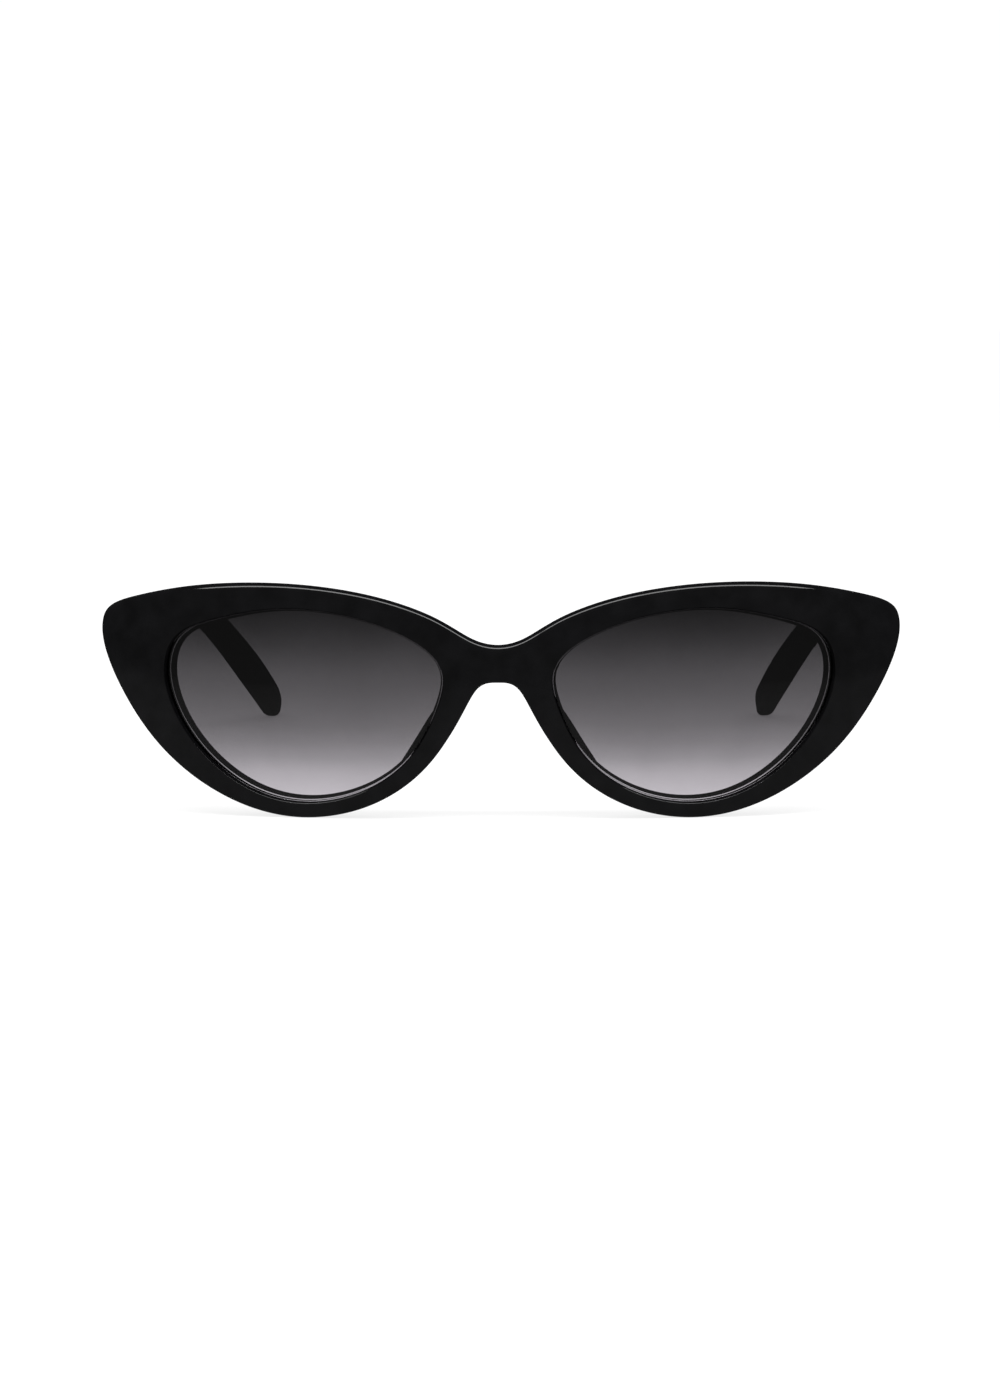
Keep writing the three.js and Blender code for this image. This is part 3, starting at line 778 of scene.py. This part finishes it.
# Geometry Nodes tree: rings with rounded edges, stacked along Z.
def knuckleTree(material):
    tree = bpy.data.node_groups.new("knuckleStack", "GeometryNodeTree")
    tree.interface.new_socket("Geometry", in_out="INPUT", socket_type="NodeSocketGeometry")
    tree.interface.new_socket("Geometry", in_out="OUTPUT", socket_type="NodeSocketGeometry")
    tree.interface.new_socket("Count", in_out="INPUT", socket_type="NodeSocketInt")
    for name in ("Pitch", "Lowest", "Radius", "Bore", "Height", "Edge"):
        tree.interface.new_socket(name, in_out="INPUT", socket_type="NodeSocketFloat")
    entry, leave = addNode(tree, "NodeGroupInput"), addNode(tree, "NodeGroupOutput")
    links = tree.links

    def maths(operation, a, b):
        node = addNode(tree, "ShaderNodeMath", operation=operation)
        for socket, value in zip(node.inputs, (a, b)):
            if isinstance(value, (int, float)):
                socket.default_value = value
            else:
                links.new(value, socket)
        return node.outputs["Value"]

    radius, bore = entry.outputs["Radius"], entry.outputs["Bore"]
    path = addNode(tree, "GeometryNodeCurvePrimitiveCircle")
    path.inputs["Resolution"].default_value = hingeShape["ringSteps"]
    links.new(maths("MULTIPLY", maths("ADD", radius, bore), 0.5), path.inputs["Radius"])
    wall = addNode(tree, "GeometryNodeCurvePrimitiveQuadrilateral")
    links.new(maths("SUBTRACT", radius, bore), wall.inputs["Width"])
    links.new(entry.outputs["Height"], wall.inputs["Height"])
    rounded = addNode(tree, "GeometryNodeFilletCurve", mode="POLY")
    rounded.inputs["Count"].default_value = hingeShape["filletSteps"]
    links.new(wall.outputs["Curve"], rounded.inputs["Curve"])
    links.new(entry.outputs["Edge"], rounded.inputs["Radius"])
    ring = addNode(tree, "GeometryNodeCurveToMesh")
    links.new(path.outputs["Curve"], ring.inputs["Curve"])
    links.new(rounded.outputs["Curve"], ring.inputs["Profile Curve"])
    start, step = addNode(tree, "ShaderNodeCombineXYZ"), addNode(tree, "ShaderNodeCombineXYZ")
    links.new(entry.outputs["Lowest"], start.inputs["Z"])
    links.new(entry.outputs["Pitch"], step.inputs["Z"])
    line = addNode(tree, "GeometryNodeMeshLine")
    links.new(entry.outputs["Count"], line.inputs["Count"])
    links.new(start.outputs["Vector"], line.inputs["Start Location"])
    links.new(step.outputs["Vector"], line.inputs["Offset"])
    stack = addNode(tree, "GeometryNodeInstanceOnPoints")
    links.new(line.outputs["Mesh"], stack.inputs["Points"])
    links.new(ring.outputs["Mesh"], stack.inputs["Instance"])
    realised = addNode(tree, "GeometryNodeRealizeInstances")
    links.new(stack.outputs["Instances"], realised.inputs["Geometry"])
    painted = addNode(tree, "GeometryNodeSetMaterial")
    painted.inputs["Material"].default_value = material
    links.new(realised.outputs["Geometry"], painted.inputs["Geometry"])
    links.new(painted.outputs["Geometry"], leave.inputs["Geometry"])
    return tree


def knuckles(tree, count, lowest):
    helper = bpy.data.objects.new("knuckleHelper", bpy.data.meshes.new("knuckleStart"))
    scene.collection.objects.link(helper)
    modifier = helper.modifiers.new("stack", "NODES")
    modifier.node_group = tree
    sizes = {
        "Count": count, "Pitch": 2 * hingeShape["pitch"], "Lowest": lowest, "Radius": hingeShape["radius"],
        "Bore": hingeShape["bore"], "Height": hingeShape["knuckleHeight"], "Edge": hingeShape["edge"],
    }
    for socket in tree.interface.items_tree:
        if socket.in_out == "INPUT" and socket.name in sizes:
            modifier[socket.identifier] = sizes[socket.name]
    helper.update_tag()
    return bakedMesh(helper, "knuckles")


# A box with bevelled edges, added to a bmesh.
def bevelledBox(work, low, high, edge):
    made = bmesh.ops.create_cube(work, size=1)["verts"]
    for vert in made:
        vert.co = Vector(low[i] if vert.co[i] < 0 else high[i] for i in range(3))
    edges = list({e for vert in made for e in vert.link_edges})
    bmesh.ops.bevel(work, geom=edges, offset=edge, segments=hingeShape["bevelSteps"], profile=0.5, affect="EDGES")


# Joins the knuckles and the boxes of one hinge half and puts them on the hinge axis.
def hingeMesh(name, stack, boxes, turn):
    work = bmesh.new()
    work.from_mesh(stack)
    for low, high, edge in boxes:
        bevelledBox(work, low, high, edge)
    bmesh.ops.remove_doubles(work, verts=work.verts, dist=0.0005)
    bmesh.ops.recalc_face_normals(work, faces=work.faces)
    work.transform(toRow @ Matrix.Translation(layout["hingeAxis"]) @ Matrix.Rotation(turn, 4, "Z"))
    mesh = bpy.data.meshes.new(name)
    work.to_mesh(mesh)
    work.free()
    finishMesh(mesh, hingeShape["sharpAngle"])
    return mesh


def knuckleMiddle(index):
    return (index - (hingeShape["count"] - 1) / 2) * hingeShape["pitch"]


def frontHingeMesh(tree):
    width, reach, edge = hingeShape["leafWidth"], hingeShape["leafReach"], hingeShape["edge"]
    half = hingeShape["knuckleHeight"] / 2
    anchorWidth, anchorDepth, anchorHeight = hingeShape["anchor"]
    boxes = [((-anchorWidth / 2, -reach - anchorDepth, -anchorHeight / 2),
              (anchorWidth / 2, -reach, anchorHeight / 2), hingeShape["anchorEdge"])]
    sunk, start = hingeShape["webSunk"][0], hingeShape["webStart"][0]
    for index in range(0, hingeShape["count"], 2):
        middle = knuckleMiddle(index)
        boxes.append(((-width / 2, -reach - sunk, middle - half), (width / 2, -start, middle + half), edge))
    inward = faceInward(layout["hingeAxis"].x + hingeShape["radius"], layout["hingeAxis"].z)
    turn = -math.atan2(inward.x, inward.y)
    return hingeMesh("hingeFrontLeft", knuckles(tree, 3, knuckleMiddle(0)), boxes, turn)


def templeHingeMesh(tree):
    plate, radius, edge = hingeShape["plate"], hingeShape["radius"], hingeShape["edge"]
    face = templeShape["outerX"] - templeShape["thickness"][0] - layout["hingeAxis"].x
    plateIn, plateOut = face + plate["sunk"] - plate["thickness"], face + plate["sunk"]
    half = hingeShape["knuckleHeight"] / 2
    boxes = [((plateIn, plate["start"], -plate["height"] / 2),
              (plateOut, plate["start"] + plate["length"], plate["height"] / 2), hingeShape["plateEdge"])]
    sunk, start, outer = hingeShape["webSunk"][1], hingeShape["webStart"][1], radius - hingeShape["webClear"]
    for index in range(1, hingeShape["count"], 2):
        middle = knuckleMiddle(index)
        boxes.append(((start, 0, middle - half), (outer, plate["start"] + sunk, middle + half), edge))
    return hingeMesh("hingeTempleLeft", knuckles(tree, 2, knuckleMiddle(1)), boxes, 0)


# A turned screw with a domed, slotted head.
def screwMesh():
    screw = hingeShape["screw"]
    stackHalf = ((hingeShape["count"] - 1) * hingeShape["pitch"] + hingeShape["knuckleHeight"]) / 2
    gap, end = screw["gap"], -stackHalf - screw["extra"]
    bottom, top = stackHalf + gap, stackHalf + gap + screw["headHeight"]
    rim, shaft = screw["headRadius"], screw["radius"]
    profile = [
        (0, end), (shaft - 0.15, end), (shaft, -stackHalf + 0.05), (shaft, bottom),
        (rim - 0.05, bottom), (rim, bottom + 0.05), (rim, bottom + 0.22), (rim * 0.94, bottom + 0.36),
        (rim * 0.8, bottom + 0.48), (rim * 0.55, top - 0.04), (rim * 0.25, top), (0, top),
    ]
    segments = screw["segments"]
    points = [(r * math.cos(2 * math.pi * i / segments), r * math.sin(2 * math.pi * i / segments), z)
              for i in range(segments) for r, z in profile]
    faces = skin(segments, len(profile), True, lambda ring, k: k < len(profile) - 1)
    work = bmesh.new()
    verts = [work.verts.new(p) for p in points]
    for face in faces:
        work.faces.new([verts[i] for i in face])
    bmesh.ops.remove_doubles(work, verts=work.verts, dist=0.0005)
    bmesh.ops.recalc_face_normals(work, faces=work.faces)
    turned = bpy.data.meshes.new("turnedScrew")
    work.to_mesh(turned)
    work.clear()
    slotHalf, slotLow, clear = screw["slotWidth"] / 2, top - screw["slotDepth"], 2
    bevelledBox(work, (-clear, -slotHalf, slotLow), (clear, slotHalf, top + 1), hingeShape["slotEdge"])
    cutter = bpy.data.meshes.new("slotCutter")
    work.to_mesh(cutter)
    work.free()
    helper, tool = bpy.data.objects.new("screwHelper", turned), bpy.data.objects.new("slotTool", cutter)
    scene.collection.objects.link(helper)
    scene.collection.objects.link(tool)
    cut = helper.modifiers.new("slot", "BOOLEAN")
    cut.operation, cut.solver, cut.object = "DIFFERENCE", "EXACT", tool
    mesh = bakedMesh(helper, "hingeScrewLeft")
    bpy.data.objects.remove(tool)
    mesh.transform(toRow @ Matrix.Translation(layout["hingeAxis"]))
    finishMesh(mesh, screw["sharpAngle"])
    return mesh


stackTree = knuckleTree(nickelSilver)
addPair("hingeFront", frontHingeMesh(stackTree), nickelSilver, "hinge_front",
        ("front", "front"))
addPair("hingeTemple", templeHingeMesh(stackTree), nickelSilver, "hinge_temple",
        ("left_temple", "right_temple"))
addPair("hingeScrew", screwMesh(), screwSteel, "hinge_screw", ("front", "front"))
for node in ("core_wire_left", "core_wire_right"):
    wire = frame["nodes"][node].data
    wire.materials.clear()
    wire.materials.append(drawnWire)
print("hinges and core wires made")


# Studio: a pale floor, a white room and one long soft light overhead, all three the stage's only.

studio = {
    "floorHalf": 6.0,
    "floorAlbedo": 0.20,
    "floorGlow": 0.80,
    "roomGlow": 1.02,
    "frontGlow": [(0.0, 0.36), (0.35, 0.28), (1.0, 0.20)],  # the floor's in reflections, going forwards
    "frontReach": (-0.08, -0.75),
    "frontDim": 0.20,    # of the room in front, in reflections
    "roomReach": (-0.7, 0.5),    # between the directions that mirror the room's front and back
    "behindReach": (-0.08, -0.02),
    "backGlow": 0.05,    # of the floor and the room behind, in reflections
    "overhead": {"radiance": 12.0, "length": 1.7, "depth": 0.26, "place": (0.0, -0.24, 1.10),
                 "aim": (0.0, -0.07, 0.03)},
}


# 1 for light on its way to a surface that mirrors it, 0 for what is seen straight or through a lens.
def mirroredRay(tree):
    path = addNode(tree, "ShaderNodeLightPath")
    once = addNode(tree, "ShaderNodeMath", operation="MINIMUM")
    once.inputs[1].default_value = 1
    tree.links.new(path.outputs["Glossy Depth"], once.inputs[0])
    return once.outputs["Value"]


# The floor and the room are white to look at, but dark grey in front and nearly black behind in anything
# mirrored, as if cards stood round the object. This keeps the polished black dark; it isn't physical.
def studioFloor():
    half = studio["floorHalf"]
    mesh = bpy.data.meshes.new("studioFloor")
    corners = [(-half, -half, 0), (half, -half, 0), (half, half, 0), (-half, half, 0)]
    mesh.from_pydata(corners, [], [(0, 1, 2, 3)])
    floor = bpy.data.objects.new("studioFloor", mesh)
    scene.collection.objects.link(floor)
    material, tree, shader = nodeMaterial("paleFloor")
    tone = studio["floorAlbedo"]
    colour = ramp(tree, objectNoise(tree, 3, 2), [(0.3, (tone, tone, tone)), (0.7, (tone * 1.02,) * 3)])
    mirrored = mirroredRay(tree)
    seen = addNode(tree, "ShaderNodeMix", data_type="RGBA")
    seen.inputs["B"].default_value = (0, 0, 0, 1)
    tree.links.new(mirrored, seen.inputs["Factor"])
    tree.links.new(colour, seen.inputs["A"])
    tree.links.new(seen.outputs["Result"], shader.inputs["Base Color"])
    coordinates, split = addNode(tree, "ShaderNodeTexCoord"), addNode(tree, "ShaderNodeSeparateXYZ")
    tree.links.new(coordinates.outputs["Object"], split.inputs["Vector"])
    forwards = ranged(tree, split.outputs["Y"], 0, 1, *studio["frontReach"])
    cards = ramp(tree, forwards, [(at, (glow,) * 3) for at, glow in studio["frontGlow"]])
    behind = ranged(tree, split.outputs["Y"], 0, 1, *studio["behindReach"])
    glow = addNode(tree, "ShaderNodeMix")
    glow.inputs["B"].default_value = studio["backGlow"]
    tree.links.new(behind, glow.inputs["Factor"])
    tree.links.new(cards, glow.inputs["A"])
    choice = addNode(tree, "ShaderNodeMix")
    choice.inputs["A"].default_value = studio["floorGlow"]
    tree.links.new(mirrored, choice.inputs["Factor"])
    tree.links.new(glow.outputs["Result"], choice.inputs["B"])
    tree.links.new(choice.outputs["Result"], shader.inputs["Emission Strength"])
    shader.inputs["Roughness"].default_value = 1
    shader.inputs["Specular IOR Level"].default_value = 0
    shader.inputs["Emission Color"].default_value = (1, 1, 1, 1)
    mesh.materials.append(material)


def studioWorld():
    world = bpy.data.worlds.new("studioRoom")
    scene.world = world
    world.use_nodes = True
    tree = world.node_tree
    dim, output = tree.nodes["Background"], tree.nodes["World Output"]
    coordinates, split = addNode(tree, "ShaderNodeTexCoord"), addNode(tree, "ShaderNodeSeparateXYZ")
    tree.links.new(coordinates.outputs["Generated"], split.inputs["Vector"])
    grey = ranged(tree, split.outputs["Y"], studio["frontDim"], studio["backGlow"], *studio["roomReach"])
    tree.links.new(grey, dim.inputs["Color"])
    plain = addNode(tree, "ShaderNodeBackground")
    plain.inputs["Color"].default_value = (*(studio["roomGlow"],) * 3, 1)
    choose = addNode(tree, "ShaderNodeMixShader")
    tree.links.new(mirroredRay(tree), choose.inputs["Fac"])
    tree.links.new(plain.outputs["Background"], choose.inputs[1])
    tree.links.new(dim.outputs["Background"], choose.inputs[2])
    tree.links.new(choose.outputs["Shader"], output.inputs["Surface"])


def softbox(name, box):
    length, depth = box["length"], box["depth"]
    light = bpy.data.lights.new(name, "AREA")
    light.shape, light.size, light.size_y = "RECTANGLE", length, depth
    light.energy = box["radiance"] * math.pi * length * depth
    lamp = bpy.data.objects.new(name, light)
    scene.collection.objects.link(lamp)
    lamp.location = box["place"]
    lamp.rotation_euler = (Vector(box["aim"]) - Vector(box["place"])).to_track_quat("-Z", "Y").to_euler()


studioFloor()
studioWorld()
softbox("overhead", studio["overhead"])
print("studio made")


# Camera: level with the lenses, a little above and to the wearer's left.

view = {
    "target": Vector((0.0002, -0.0686, 0.0205)),
    "distance": 0.630,
    "elevation": math.radians(6.8),
    "aside": math.radians(1.66),
    "roll": math.radians(-0.27),
    "focal": 90.4,
}
camera = bpy.data.cameras.new("camera")
camera.lens, camera.sensor_width = view["focal"], 36
camera.clip_start = 0.01
rig = bpy.data.objects.new("camera", camera)
scene.collection.objects.link(rig)
aside, raised = view["aside"], view["elevation"]
level = math.cos(raised)
towards = Vector((math.sin(aside) * level, -math.cos(aside) * level, math.sin(raised)))
rig.location = view["target"] + towards * view["distance"]
aim = (-towards).to_track_quat("-Z", "Y").to_matrix()
rig.rotation_euler = (aim @ Matrix.Rotation(view["roll"], 3, "Z")).to_euler()
scene.camera = rig
scene.view_settings.view_transform = "Standard"
